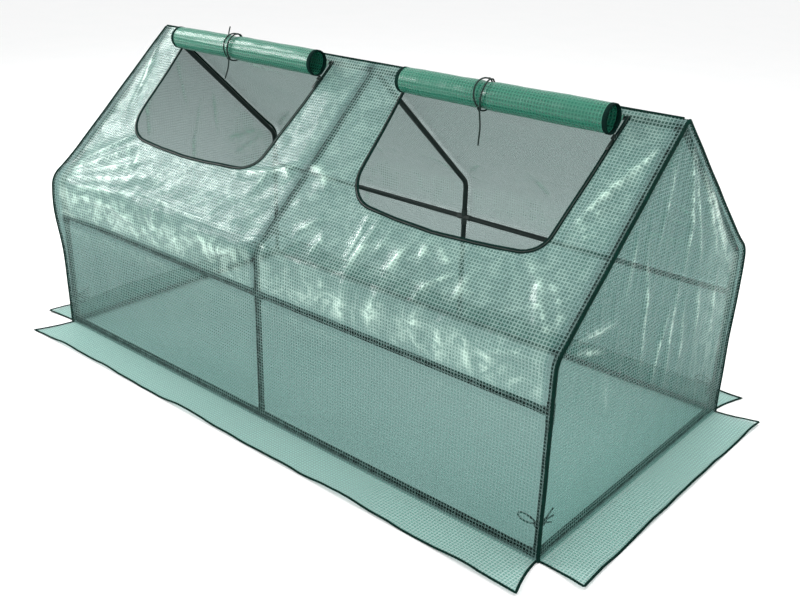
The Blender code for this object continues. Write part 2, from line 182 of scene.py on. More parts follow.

# Camera and lamps: place, target, width and height, power
CAMERA_PLACE = (1.7629, -1.9569, 1.3486)
CAMERA_AZIMUTH, CAMERA_ELEVATION, CAMERA_ROLL = 40.18, 23.63, 1.59
CAMERA_LENS, CAMERA_SENSOR = 43.89, 36.0
LAMPS = {
    "key": ((-3.0, -2.5, 2.2), (0, -0.3, 0.5), (1.1, 1.5), 85),
    "sheen": ((-3.1, -0.7, 2.7), (-0.3, -0.2, 0.6), (1.1, 1.1), 60),
    "top": ((0.9, 0.9, 3.2), (0.2, 0, 0.4), (1.6, 1.2), 50),
    "fill": ((3.4, -2.6, 1.9), (0.3, 0, 0.4), (1.2, 1.2), 20),
    "gable streaks": ((2.6, 2.3, 0.9), (0.9, 0.1, 0.5), (0.5, 1.6), 25),
}


# ---------------------------------------------------------------- materials

class Wire:
    """An output of a node, used in sums as a number is."""

    def __init__(self, finish, socket):
        self.finish = finish
        self.socket = socket

    def math(self, operation, *others):
        return self.finish.node("Math", {"operation": operation}, dict(enumerate((self, *others))))

    def __add__(self, other):
        return self.math("ADD", other)

    def __sub__(self, other):
        return self.math("SUBTRACT", other)

    def __rsub__(self, other):
        return self.math("MULTIPLY_ADD", -1.0, other)

    def __mul__(self, other):
        return self.math("MULTIPLY", other)

    def __truediv__(self, other):
        return self.math("DIVIDE", other)

    __radd__ = __add__
    __rmul__ = __mul__

    def rise(self, low, high):
        """0 below low, 1 above high, and smooth between."""
        return self.finish.node("MapRange", {"interpolation_type": "SMOOTHSTEP"},
                                {0: self, 1: low, 2: high, 3: 0.0, 4: 1.0})

    def ridges(self, pitch=1):
        """Straight ridges a pitch apart, from 0 midway between them to 1 on each crest."""
        turns = self if pitch == 1 else self / pitch
        return (turns.math("FRACT") - 0.5).math("ABSOLUTE") * 2


class Finish:
    """A material being made: node() adds one node, and surface() sets the shader's own sockets."""

    def __init__(self, name):
        self.material = bpy.data.materials.new(name)
        self.material.use_nodes = True
        self.tree = self.material.node_tree
        self.shader = self.tree.nodes["Principled BSDF"]

    def node(self, kind, settings, sockets, out=0):
        made = self.tree.nodes.new("ShaderNode" + kind)
        for setting, value in settings.items():
            setattr(made, setting, value)
        for socket, value in sockets.items():
            self.feed(made.inputs[socket], value)
        return Wire(self, made.outputs[out])

    def feed(self, socket, value):
        if isinstance(value, Wire):
            self.tree.links.new(value.socket, socket)
        else:
            socket.default_value = value

    def surface(self, **sockets):
        for name, value in sockets.items():
            self.feed(self.shader.inputs[name.replace("_", " ")], value)
        return self.material

    def place(self, kind="Object"):
        return self.node("TexCoord", {}, {}, out={"UV": 2, "Object": 3}[kind])

    def split(self, vector):
        first = self.node("SeparateXYZ", {}, {0: vector})
        return [Wire(self, output) for output in first.socket.node.outputs]

    def noise(self, vector, scale, detail=3.0, distortion=0.0):
        return self.node("TexNoise", {}, {"Vector": vector, "Scale": scale, "Detail": detail,
                                          "Distortion": distortion})

    def mix(self, mask, first, second):
        return self.node("Mix", {"data_type": "RGBA"}, {0: mask, 6: first, 7: second}, out=2)

    def bump(self, height, distance):
        return self.node("Bump", {}, {"Height": height, "Distance": distance, "Strength": 1.0})


def rgb(red, green, blue):
    return (red, green, blue, 1.0)


def times(colour, factor):
    """A lighter or darker version of a colour."""
    return rgb(*[min(1, part * factor) for part in colour])


def woven_film(name, cell, thread, tint, cell_share, thread_share, roughness=0.2, gloss=1.0,
               weave_height=0.22):
    """Clear green film with a square scrim of thicker threads in it. cell and thread are their colours,
    the shares are how much of what is behind each is hidden, and tint is what the rest passes through.
    Sheen is painted on where the film's attribute says: whiter, less clear film for reflections on folds."""
    made = Finish(name)
    flat = made.place("UV")
    across, along, _ = made.split(flat)
    drift = made.noise(flat, 30.0, 2.0) * 0.0012
    edge = 1 - THREAD / WEAVE
    warp, weft = ((way + drift).ridges(WEAVE).rise(edge - THREAD_BLUR, edge + THREAD_BLUR)
                  for way in (across, along))
    scrim = warp.math("MAXIMUM", weft)
    crossing = warp * weft
    cloud = made.noise(flat, 5.0, 3.0).rise(0.3, 0.7)
    # Painted sheen: whiter, less clear and glossier film where the attribute says, broken into streaks,
    # standing in for reflections
    painted_sheen = made.node("Attribute", {"attribute_name": "painted_sheen"}, {}, out=2)
    sheen_streaks = made.noise(flat, 24.0, 4.0, 1.2).rise(0.40, 0.62)
    painted_sheen_mask = painted_sheen * (sheen_streaks * 0.6 + 0.4)
    tone = made.mix(cloud, times(cell, 0.85), times(cell, 1.15))
    colour = made.mix(painted_sheen_mask, made.mix(scrim, tone, rgb(*thread)), rgb(*PAINTED_SHEEN_COLOUR))
    crinkle = made.noise(flat, 55.0, 4.0, 0.6)
    ripple = made.noise(flat, 14.0, 3.0, 0.4)
    height = scrim * weave_height + crossing * 0.12 + crinkle * 0.30 + ripple * 1.3
    made.surface(
        Base_Color=colour,
        Roughness=scrim * 0.10 + cloud * 0.06 + painted_sheen_mask * 0.15 + roughness,
        Normal=made.bump(height, 0.0011),
        IOR=1.45,
        Specular_IOR_Level=0.26 * gloss,
        Coat_Weight=(painted_sheen_mask * 0.9 + 0.10 * gloss).math("MAXIMUM", 0.0),
        Coat_Roughness=0.10,
    )
    clear = made.node("BsdfTransparent", {}, {"Color": rgb(*tint)})
    hidden = scrim * (thread_share - cell_share) + cell_share
    hidden = (hidden + painted_sheen_mask * PAINTED_SHEEN_SHARE).math("MINIMUM", 0.96)
    seen = made.node("MixShader", {}, {0: hidden, 1: clear})
    made.tree.links.new(made.shader.outputs[0], seen.socket.node.inputs[2])
    made.tree.links.new(seen.socket, made.tree.nodes["Material Output"].inputs["Surface"])
    return made.material


def twill(name, dark, light, pitch=0.0016):
    """Woven binding: slanting ribs along a narrow tape."""
    made = Finish(name)
    flat = made.place("UV")
    across, along, _ = made.split(flat)
    rib = (across + along).ridges(pitch).rise(0.1, 0.9)
    yarn = (across - along * 0.6).ridges(pitch * 0.7)
    worn = made.noise(made.place(), 60.0, 3.0).rise(0.45, 0.75)
    colour = made.mix(rib * 0.6 + worn * 0.4, rgb(*dark), rgb(*light))
    return made.surface(
        Base_Color=colour,
        Roughness=worn * 0.12 + 0.72,
        Normal=made.bump(rib * 0.7 + yarn * 0.3, 0.0004),
        Specular_IOR_Level=0.05,
    )


def plied(name, dark, light, turn=0.006):
    """Round cord of twisted strands: the UV runs round it and along it."""
    made = Finish(name)
    around, along, _ = made.split(made.place("UV"))
    strand = (around * 3 + along / turn).ridges().rise(0.05, 0.95)
    fuzz = made.noise(made.place(), 900.0, 3.0)
    return made.surface(
        Base_Color=made.mix(strand * 0.7 + fuzz * 0.3, rgb(*light), rgb(*dark)),
        Roughness=fuzz * 0.15 + 0.65,
        Normal=made.bump(fuzz * 0.35 - strand, 0.0005),
        Specular_IOR_Level=0.25,
    )


def painted_steel():
    """Dark green powder coat with a fine orange peel, rubbed a little along the tubes."""
    made = Finish("green_powder_coat")
    here = made.place()
    peel = made.noise(here, 420.0, 2.0)
    rub = made.noise(here, 9.0, 4.0, 0.5).rise(0.52, 0.72)
    dust = made.noise(here, 38.0, 4.0).rise(0.55, 0.8)
    colour = made.mix(rub * 0.55, rgb(0.006, 0.013, 0.011), rgb(0.016, 0.030, 0.025))
    return made.surface(
        Base_Color=made.mix(dust * 0.25, colour, rgb(0.05, 0.07, 0.065)),
        Roughness=rub * 0.14 + dust * 0.12 + 0.34,
        Normal=made.bump(peel, 0.00012),
        Specular_IOR_Level=0.3,
    )


def moulded_plastic(name):
    """Black-green plastic with a fine spark-eroded grain."""
    made = Finish(name)
    here = made.place()
    grain = made.noise(here, 1500.0, 2.0)
    flow = made.noise(here, 45.0, 3.0, 0.8).rise(0.35, 0.75)
    return made.surface(
        Base_Color=made.mix(flow, rgb(0.007, 0.012, 0.010), rgb(0.018, 0.027, 0.023)),
        Roughness=flow * 0.12 + 0.42,
        Normal=made.bump(grain, 0.00015),
    )


def zip_lacquer():
    """Lacquered die-cast metal, with the lacquer rubbed through in places."""
    made = Finish("zip_lacquer")
    here = made.place()
    pits = made.noise(here, 700.0, 3.0)
    bare = made.noise(here, 260.0, 4.0).rise(0.60, 0.72)
    return made.surface(
        Base_Color=made.mix(bare, rgb(0.012, 0.020, 0.018), rgb(0.30, 0.31, 0.30)),
        Metallic=bare * 0.6 + 0.25,
        Roughness=pits * 0.12 + 0.28,
        Normal=made.bump(pits, 0.0001),
        Coat_Weight=0.4,
    )


film = woven_film("cover_film", cell=(0.03, 0.18, 0.14), thread=(0.18, 0.29, 0.27),
                  tint=(0.43, 0.57, 0.55), cell_share=0.15, thread_share=0.55)
gable_film = woven_film("gable_film", cell=(0.012, 0.13, 0.10), thread=(0.16, 0.29, 0.265),
                        tint=(0.40, 0.57, 0.54), cell_share=0.14, thread_share=0.50)
# Painted shade: a darker, greyer, less clear copy of the cover film for the back cover and left gable,
# seen from inside where less light falls
shaded_film = woven_film("shaded_film", cell=(0.045, 0.11, 0.097), thread=(0.26, 0.31, 0.30),
                       tint=(0.36, 0.43, 0.42), cell_share=0.42, thread_share=0.68)
skirt_film = woven_film("skirt_film", cell=(0.13, 0.29, 0.255), thread=(0.56, 0.68, 0.655),
                        tint=(0.48, 0.66, 0.62), cell_share=0.14, thread_share=0.50,
                        roughness=0.26, gloss=0.7)
flap_film = woven_film("flap_film", cell=(0.006, 0.128, 0.078), thread=(0.014, 0.160, 0.100),
                       tint=(0.45, 0.75, 0.65), cell_share=0.80, thread_share=0.92,
                       roughness=0.22, gloss=2.2, weave_height=0.7)
binding = twill("green_binding", (0.0008, 0.010, 0.007), (0.003, 0.034, 0.025))
zip_tape = twill("zip_tape_cloth", (0.0008, 0.009, 0.007), (0.003, 0.030, 0.023), 0.0011)
zip_nylon = moulded_plastic("zip_nylon")
cord_yarn = plied("dark_green_yarn", (0.002, 0.008, 0.006), (0.010, 0.030, 0.024))
steel = painted_steel()
plastic = moulded_plastic("joint_polypropylene")
lacquer = zip_lacquer()


# ---------------------------------------------------------------- meshes

def add_object(name, mesh, finish, body="greenhouse", smooth=True):
    """A piece with one finish, which moves with a body of the frame."""
    mesh.materials.clear()
    mesh.materials.append(finish)
    made = bpy.data.objects.new(name, mesh)
    bpy.context.scene.collection.objects.link(made)
    if smooth:
        mesh.shade_smooth()
    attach(made, body)
    return made


def rework(mesh, edit):
    """Run edit on a mesh's vertices, edges and faces in place."""
    work = bmesh.new()
    work.from_mesh(mesh)
    edit(work)
    work.to_mesh(mesh)
    work.free()


def face_outwards(work):
    bmesh.ops.recalc_face_normals(work, faces=work.faces)


def drop_loose(work):
    bmesh.ops.delete(work, geom=[vertex for vertex in work.verts if not vertex.link_faces],
                     context="VERTS")


def grid_sheet(name, points, flat, finish, body="greenhouse", turned=False, inside=None,
               painted_sheen=None):
    """An open sheet through a grid of points, with its flat places as UV. inside marks cut-away faces,
    and the last argument is how much sheen is painted on the film at each point."""
    rows, columns = points.shape[:2]
    corner = np.arange(rows * columns).reshape(rows, columns)
    quads = [corner[:-1, :-1], corner[:-1, 1:], corner[1:, 1:], corner[1:, :-1]]
    if turned:
        quads.reverse()
    faces = np.stack(quads, axis=-1).reshape(-1, 4)
    flat = flat.reshape(-1, 2)
    if inside is not None:
        middle = flat[faces].mean(axis=1)
        faces = faces[~inside(middle)]
    mesh = bpy.data.meshes.new(name)
    mesh.from_pydata(points.reshape(-1, 3).tolist(), [], faces.tolist())
    uv = mesh.uv_layers.new(name="UVMap")
    uv.data.foreach_set("uv", flat[faces.reshape(-1)].astype(np.float32).ravel())
    # the painted sheen, whiter film standing in for reflections, kept as a point attribute
    if painted_sheen is not None:
        painted_sheen_layer = mesh.attributes.new("painted_sheen", "FLOAT", "POINT")
        painted_sheen_layer.data.foreach_set("value", painted_sheen.astype(np.float32).ravel())
    rework(mesh, drop_loose)
    return add_object(name, mesh, finish, body)


def lengths_along(path):
    """The distance from the start to each point of a path."""
    steps = np.linalg.norm(np.diff(path, axis=0), axis=1)
    return np.concatenate([[0.0], np.cumsum(steps)])


def smooth_path(points, spacing):
    """A smooth curve through points, as points about spacing apart."""
    path = [Vector(p) for p in points]
    ends = [path[0] * 2 - path[1]] + path + [path[-1] * 2 - path[-2]]
    curve = []
    for before, start, stop, after in zip(ends, ends[1:], ends[2:], ends[3:]):
        count = max(1, round((stop - start).length / spacing))
        for k in range(count):
            t = k / count
            curve.append(0.5 * (2 * start + (stop - before) * t
                                + (2 * before - 5 * start + 4 * stop - after) * t * t
                                + (3 * start - before - 3 * stop + after) * t ** 3))
    curve.append(path[-1])
    return np.array([list(p) for p in curve])


def carried_frames(path, first_up):
    """Directions across and up along a path, turning with it as little as they can."""
    heading = np.gradient(path, axis=0)
    heading /= np.linalg.norm(heading, axis=1)[:, None]
    up = np.array(first_up, float)
    ups = []
    for along in heading:
        up = up - along * (up @ along)
        up /= np.linalg.norm(up)
        ups.append(up.copy())
    ups = np.array(ups)
    return np.cross(heading, ups), ups


def sweep(name, path, across, up, section, finish, body="greenhouse", around_uv=False):
    """A closed bar: a section of (across, up) points carried along a path. Its UV runs round and along."""
    section = np.array(section, float)
    rings = path[:, None] + across[:, None] * section[:, :1] + up[:, None] * section[:, 1:]
    count = len(section)
    faces = []
    for i in range(len(path) - 1):
        for k in range(count):
            j = (k + 1) % count
            faces.append((i * count + k, i * count + j, (i + 1) * count + j, (i + 1) * count + k))
    faces.append(tuple(range(count))[::-1])
    faces.append(tuple((len(path) - 1) * count + k for k in range(count)))
    mesh = bpy.data.meshes.new(name)
    mesh.from_pydata(rings.reshape(-1, 3).tolist(), [], faces)
    edge = np.linalg.norm(np.roll(section, -1, axis=0) - section, axis=1)
    round_it = np.concatenate([[0.0], np.cumsum(edge)])
    if around_uv:
        round_it /= round_it[-1]
    along = lengths_along(path)
    uv = mesh.uv_layers.new(name="UVMap")
    places = []
    for i in range(len(path) - 1):
        for k in range(count):
            places += [(round_it[k], along[i]), (round_it[k + 1], along[i]),
                       (round_it[k + 1], along[i + 1]), (round_it[k], along[i + 1])]
    places += [(round_it[k], 0.0) for k in range(count)] * 2
    uv.data.foreach_set("uv", np.array(places, np.float32).ravel())
    rework(mesh, face_outwards)
    made = add_object(name, mesh, finish, body)
    mesh.set_sharp_from_angle(angle=math.radians(50))
    return made


def circle(radius, sides=10):
    """A round section, for sweep."""
    turns = [2 * math.pi * k / sides for k in range(sides)]
    return [(radius * math.cos(t), radius * math.sin(t)) for t in turns]


def strap(width, thick):
    """The section of a soft woven tape, thinner at its edges."""
    half = width / 2
    top = thick / 2
    return [(-half, -top * 0.3), (-half * 0.8, -top), (half * 0.8, -top), (half, -top * 0.3),
            (half, top * 0.3), (half * 0.8, top), (0, top * 1.1), (-half * 0.8, top),
            (-half, top * 0.3)]


# ---------------------------------------------------------------- how the film lies

def bell(value, middle, width):
    """1 at the middle, and fading to 0 on both sides."""
    return np.exp(-((value - middle) / width) ** 2)


def ramp(value, low, high):
    """0 at low and 1 at high, whichever is the greater, and smooth between."""
    t = np.clip((value - low) / (high - low), 0, 1)
    return t * t * (3 - 2 * t)


def fold(across, down, points, width):
    """A pinched fold, sharp along a line through points and fading out at both of its ends. It is
    about 1 high."""
    lift = np.zeros_like(across)
    whole = sum(math.dist(a, b) for a, b in zip(points, points[1:]))
    walked = 0.0
    for (x0, d0), (x1, d1) in zip(points, points[1:]):
        length = math.dist((x0, d0), (x1, d1))
        along = np.clip(((across - x0) * (x1 - x0) + (down - d0) * (d1 - d0)) / length ** 2, 0, 1)
        off = np.hypot(across - x0 - along * (x1 - x0), down - d0 - along * (d1 - d0))
        share = (walked + along * length) / whole
        fade = np.sin(math.pi * np.clip(share, 0, 1)) ** 0.6
        lift = np.maximum(lift, fade * np.exp(-np.sqrt((off / width) ** 2 + 0.04) + 0.2))
        walked += length
    return lift


def crumple(across, down, size, seed, waves=6):
    """Flat facets with sharp creases between them, from -1 to 1."""
    draw = random.Random(seed)
    total = np.zeros_like(across)
    for _ in range(waves):
        angle = draw.uniform(0, math.pi)
        span = size * draw.uniform(0.6, 1.6)
        phase = (across * math.cos(angle) + down * math.sin(angle)) / span + draw.random()
        total += np.abs(phase - np.floor(phase) - 0.5) * 4 - 1
    return total / math.sqrt(waves) / 1.5


def edge_slack(down, side, end):
    """How far a gable seam stands out from its frame, most of it just below the eave."""
    return SEAM_SLACK[side, end] * bell(down, SEAM_SLACK_DOWN, SEAM_SLACK_REACH)


# Folds: the line that each runs along, its height and its width
FRONT_FOLDS = [
    # the fan out of the left eave corner
    ([(-0.885, 0.590), (-0.690, 0.385)], 0.007, 0.011),
    ([(-0.880, 0.600), (-0.640, 0.420)], 0.008, 0.011),
    ([(-0.880, 0.605), (-0.585, 0.470)], 0.006, 0.010),
    ([(-0.875, 0.612), (-0.520, 0.515)], 0.006, 0.012),
    ([(-0.873, 0.622), (-0.447, 0.571)], 0.006, 0.012),
    ([(-0.870, 0.640), (-0.620, 0.640), (-0.420, 0.683)], 0.006, 0.013),
    ([(-0.640, 0.430), (-0.600, 0.540)], 0.004, 0.010),
    # the crease along the left bay's eave and the fold under it
    ([(-0.560, 0.560), (-0.300, 0.580), (-0.010, 0.580)], 0.006, 0.008),
    ([(-0.420, 0.685), (-0.430, 0.585)], 0.005, 0.009),
    ([(-0.300, 0.610), (-0.170, 0.650), (-0.050, 0.640)], 0.006, 0.022),
    ([(-0.340, 0.700), (-0.315, 0.640)], 0.003, 0.008),
    # pinches over the middle frame
    ([(-0.240, 0.420), (-0.100, 0.392), (-0.012, 0.338)], 0.008, 0.012),
    ([(-0.012, 0.338), (0.055, 0.352), (0.110, 0.400)], 0.008, 0.012),
    ([(-0.110, 0.385), (-0.130, 0.465)], 0.005, 0.009),
    ([(-0.070, 0.365), (-0.030, 0.392)], 0.005, 0.009),
    ([(-0.060, 0.600), (-0.006, 0.578), (0.055, 0.607)], 0.006, 0.010),
    ([(0.085, 0.540), (0.145, 0.465)], 0.005, 0.010),
    ([(0.165, 0.570), (0.180, 0.530), (0.170, 0.500)], 0.005, 0.008),
    # the crinkled lower roof of the right bay
    ([(0.305, 0.410), (0.297, 0.595)], 0.007, 0.012),
    ([(0.268, 0.418), (0.280, 0.560)], 0.005, 0.008),
    ([(0.415, 0.470), (0.402, 0.560)], 0.007, 0.015),
    ([(0.350, 0.440), (0.345, 0.530)], 0.004, 0.012),
    ([(0.455, 0.430), (0.480, 0.520)], 0.005, 0.014),
    ([(0.484, 0.440), (0.560, 0.494)], 0.005, 0.010),
    ([(0.580, 0.494), (0.522, 0.544), (0.503, 0.600)], 0.007, 0.008),
    ([(0.610, 0.470), (0.600, 0.570)], 0.005, 0.016),
    ([(0.700, 0.400), (0.765, 0.455), (0.875, 0.600)], 0.007, 0.010),
    ([(0.750, 0.418), (0.830, 0.480), (0.884, 0.570)], 0.005, 0.008),
    ([(0.770, 0.470), (0.835, 0.590)], 0.004, 0.010),
    # streaks that run from it over the eave and down the wall
    ([(0.310, 0.590), (0.300, 0.740)], 0.006, 0.016),
    ([(0.245, 0.600), (0.215, 0.710)], 0.004, 0.012),
    ([(0.410, 0.600), (0.385, 0.700)], 0.005, 0.014),
    ([(0.520, 0.598), (0.540, 0.715)], 0.006, 0.014),
    ([(0.600, 0.610), (0.590, 0.720)], 0.005, 0.016),
    ([(0.660, 0.615), (0.685, 0.705)], 0.006, 0.015),
    ([(0.740, 0.620), (0.720, 0.700)], 0.004, 0.013),
    ([(0.875, 0.620), (0.780, 0.625), (0.690, 0.660)], 0.005, 0.012),
    # the long curved fold beside the right window
    ([(0.890, 0.060), (0.838, 0.160), (0.790, 0.270), (0.774, 0.345)], 0.011, 0.012),
    ([(0.835, 0.235), (0.800, 0.290)], 0.004, 0.006),
    ([(0.794, 0.300), (0.822, 0.350)], 0.004, 0.006),
    ([(-0.885, 0.060), (-0.830, 0.200), (-0.800, 0.330)], 0.005, 0.011),
]
BACK_FOLDS = [
    ([(-0.885, 0.600), (-0.640, 0.400)], 0.008, 0.012),
    ([(-0.880, 0.610), (-0.560, 0.500)], 0.006, 0.012),
    ([(-0.875, 0.630), (-0.480, 0.610)], 0.006, 0.014),
    ([(0.885, 0.600), (0.700, 0.380)], 0.008, 0.012),
    ([(0.880, 0.610), (0.600, 0.480)], 0.006, 0.012),
    ([(0.875, 0.640), (0.560, 0.630)], 0.006, 0.014),
    ([(0.000, 0.585), (0.120, 0.470)], 0.006, 0.012),
    ([(0.000, 0.585), (-0.140, 0.500)], 0.005, 0.012),
    ([(-0.080, 0.600), (0.000, 0.575), (0.070, 0.602)], 0.005, 0.010),
    ([(0.300, 0.430), (0.320, 0.600)], 0.005, 0.014),
    ([(-0.350, 0.450), (-0.330, 0.590)], 0.005, 0.014),
    ([(-0.880, 0.040), (-0.600, 0.150), (-0.420, 0.160)], 0.006, 0.014),
    ([(0.890, 0.050), (0.800, 0.200), (0.780, 0.330)], 0.006, 0.011),
    ([(0.020, 0.030), (0.240, 0.120)], 0.005, 0.012),
    ([(0.450, 0.660), (0.430, 0.860)], 0.005, 0.016),
    ([(-0.420, 0.680), (-0.450, 0.900)], 0.005, 0.016),
]
GABLE_FOLDS = [
    # (y, z) with the front at the left
    ([(0.015, 0.870), (0.100, 0.640), (0.102, 0.490)], 0.008, 0.010),
    ([(0.085, 0.520), (0.071, 0.200)], 0.006, 0.010),
    ([(0.063, 0.470), (0.025, 0.350), (0.000, 0.245)], 0.006, 0.008),
    ([(-0.125, 0.675), (-0.075, 0.500), (-0.058, 0.270)], 0.006, 0.008),
    ([(-0.168, 0.690), (-0.180, 0.500)], 0.005, 0.009),
    ([(-0.395, 0.500), (-0.190, 0.488)], 0.006, 0.011),
    ([(-0.390, 0.480), (-0.240, 0.430)], 0.005, 0.010),
    ([(-0.020, 0.850), (-0.060, 0.600)], 0.004, 0.010),
    ([(0.020, 0.870), (0.178, 0.560), (0.205, 0.470)], 0.006, 0.010),
    ([(0.040, 0.850), (0.260, 0.560), (0.300, 0.480)], 0.006, 0.010),
    ([(0.060, 0.830), (0.360, 0.500)], 0.006, 0.010),
    ([(0.070, 0.815), (0.400, 0.430)], 0.005, 0.009),
    ([(0.205, 0.470), (0.230, 0.300)], 0.006, 0.014),
    ([(0.130, 0.460), (0.150, 0.300), (0.130, 0.230)], 0.005, 0.010),
    ([(0.300, 0.480), (0.330, 0.250)], 0.004, 0.012),
    ([(-0.240, 0.380), (-0.200, 0.250)], 0.003, 0.012),
]


def window_bays(across):
    """0 over a frame, 1 midway between two."""
    return np.abs(np.sin(math.pi * across / FRAME_X))


def cover_lie(across, down, side):
    """How far a long cover lies from its taut shape, with sag in the bays, slack corners and folds, and
    how much sheen is painted on it, standing in for reflections on its folds, under the eave and on the
    roof."""
    taut = ramp(np.abs(across), HALF_LENGTH - 0.002, HALF_LENGTH - 0.045)
    bay = window_bays(across)
    rest = ramp(down, 0.006, 0.05) * ramp(down, COVER - 0.002, COVER - 0.05)
    sag = -FILM_SLACK - ROOF_SAG * bay * np.sin(math.pi * np.clip(down / WALL_START, 0, 1))
    sag -= WALL_SAG * bay * np.sin(math.pi * np.clip((down - WALL_START) / (COVER - WALL_START), 0, 1))
    sag -= EAVE_SAG * bay * bell(down, WALL_START - 0.01, 0.05)
    lift = sag * taut * rest
    near_frame = 1 - 0.75 * bell(across, 0, 0.02) - 0.75 * bell(np.abs(across), FRAME_X, 0.016)
    creased = bell(down, 0.60, 0.13) * (0.35 + 0.65 * bay) + 0.22
    seed = COVER_SEEDS[side]
    facets = crumple(across, down, FACETS[0], seed)
    lift += FACETS[1] * facets * creased * taut * rest * near_frame
    lift += FINE_FACETS[1] * crumple(across, down, FINE_FACETS[0], seed + 1) * creased * taut * rest
    lift += SWELLS[1] * crumple(across, down * 0.45, SWELLS[0], seed + 2) * taut * rest * near_frame
    # Painted sheen: whiter film under the eave and on the roof, more to the left where the lamps are, for
    # their reflections
    under_eave = bell(down, WALL_START + 0.040, 0.075)
    painted_sheen = under_eave * (0.50 + 0.16 * ramp(-across, 0, 0.5) + 0.24 * facets)
    on_roof = ramp(down, ROOF + 0.02, ROOF - 0.06)
    painted_sheen += on_roof * (0.26 + 0.12 * ramp(-across, -0.3, 0.8) + 0.08 * facets)
    if side > 0:
        painted_sheen *= BACK_PAINTED_SHEEN
    # Each fold lifts the film and gets a painted highlight along its crest
    for points, height, width in (FRONT_FOLDS if side < 0 else BACK_FOLDS):
        crease = fold(across, down, points, width)
        lift += height * crease * rest * ramp(np.abs(across), HALF_LENGTH, HALF_LENGTH - 0.03)
        painted_sheen += crease ** PAINTED_SHEEN_POWER * height / PAINTED_SHEEN_HEIGHT
    for end in (-1, 1):
        lift += edge_slack(down, side, end) * ramp(across * end, HALF_LENGTH - 0.30, HALF_LENGTH)
    tube = np.maximum(bell(down, RAIL_DOWN, TUBE_REST), bell(down, COVER - TUBE_REST, TUBE_REST))
    tube = np.maximum(tube, bell(across, 0, TUBE_REST))
    tube = np.maximum(tube, bell(np.abs(across), FRAME_X, TUBE_REST))
    lift = np.maximum(lift, -TUBE_DEPTH - BAY_DEPTH * (1 - tube))
    return lift, np.clip(painted_sheen, 0, 1) * (1 - tube) - PRESSED * tube


def cover_place(across, down, lift, side):
    """Points of a long cover, lift metres out from its taut outer face."""
    facing = EAVE_TURN - np.clip((down - ROOF) / EAVE_RADIUS, 0, EAVE_TURN)
    on_roof = np.minimum(down, ROOF)
    on_wall = np.maximum(down - WALL_START, 0)
    y = on_roof * math.cos(SLOPE) + EAVE_RADIUS * (np.cos(facing) - math.cos(EAVE_TURN))
    z = APEX_Z - on_roof * math.sin(SLOPE) + EAVE_RADIUS * (np.sin(facing) - math.sin(EAVE_TURN))
    y = y + lift * np.cos(facing)
    z = z - on_wall + lift * np.sin(facing)
    return np.stack([across + 0 * y, side * y, z], axis=-1)


def on_front(across, down, proud=0.0):
    """Points on the front cover as it really lies."""
    across = np.asarray(across, float)
    down = np.asarray(down, float)
    return cover_place(across, down, cover_lie(across, down, -1)[0] + proud, -1)


# ---------------------------------------------------------------- window outlines

def rounded(corners, step=math.radians(6)):
    """An open outline through (x, y, radius) corners, each turned as an arc."""
    outline = []
    for i, (x, y, radius) in enumerate(corners):
        corner = Vector((x, y))
        if radius == 0:
            outline.append(corner)
            continue
        before = (Vector(corners[i - 1][:2]) - corner).normalized()
        after = (Vector(corners[i + 1][:2]) - corner).normalized()
        half = before.angle(after) / 2
        centre = corner + (before + after).normalized() * radius / math.sin(half)
        start = corner + before * radius / math.tan(half) - centre
        end = corner + after * radius / math.tan(half) - centre
        turn = start.angle_signed(end)
        pieces = max(2, math.ceil(abs(turn) / step))
        for k in range(pieces + 1):
            outline.append(centre + Matrix.Rotation(-turn * k / pieces, 2) @ start)
    return outline


def window_outline(centre, top=WINDOW_TOP):
    """The U of a window's edge on the film, from its top left round to its top right."""
    lean = (WINDOW_TOP_HALF - WINDOW_LOW_HALF) / (WINDOW_LOW - WINDOW_TOP)
    half_top = WINDOW_TOP_HALF - lean * (top - WINDOW_TOP)
    corners = [(centre - half_top, top, 0),
               (centre - WINDOW_LOW_HALF, WINDOW_LOW, WINDOW_CORNER_R * 1.25),
               (centre, WINDOW_LOW + WINDOW_SAG, 1.4),
               (centre + WINDOW_LOW_HALF, WINDOW_LOW, WINDOW_CORNER_R * 0.75),
               (centre + half_top, top, 0)]
    return np.array([list(p) for p in rounded(corners)])


def even_steps(path, spacing):
    """The same path with its points spacing apart."""
    walked = lengths_along(path)
    count = max(2, round(walked[-1] / spacing) + 1)
    marks = np.linspace(0, walked[-1], count)
    return np.stack([np.interp(marks, walked, path[:, k]) for k in range(path.shape[1])], axis=-1)


def nearest_on(outline, places):
    """For each place: the nearest point of a closed outline, and whether the place is inside it."""
    best = np.full(len(places), np.inf)
    found = np.zeros_like(places)
    inside = np.zeros(len(places), bool)
    for start, end in zip(outline, np.roll(outline, -1, axis=0)):
        edge = end - start
        t = np.clip(((places - start) @ edge) / (edge @ edge), 0, 1)
        point = start + t[:, None] * edge
        off = np.linalg.norm(places - point, axis=1)
        closer = off < best
        best[closer] = off[closer]
        found[closer] = point[closer]
        if start[1] != end[1]:
            crosses = (start[1] > places[:, 1]) != (end[1] > places[:, 1])
            level = start[0] + (places[:, 1] - start[1]) / (end[1] - start[1]) * edge[0]
            inside ^= crosses & (places[:, 0] < level)
    return found, best, inside


# ---------------------------------------------------------------- covers

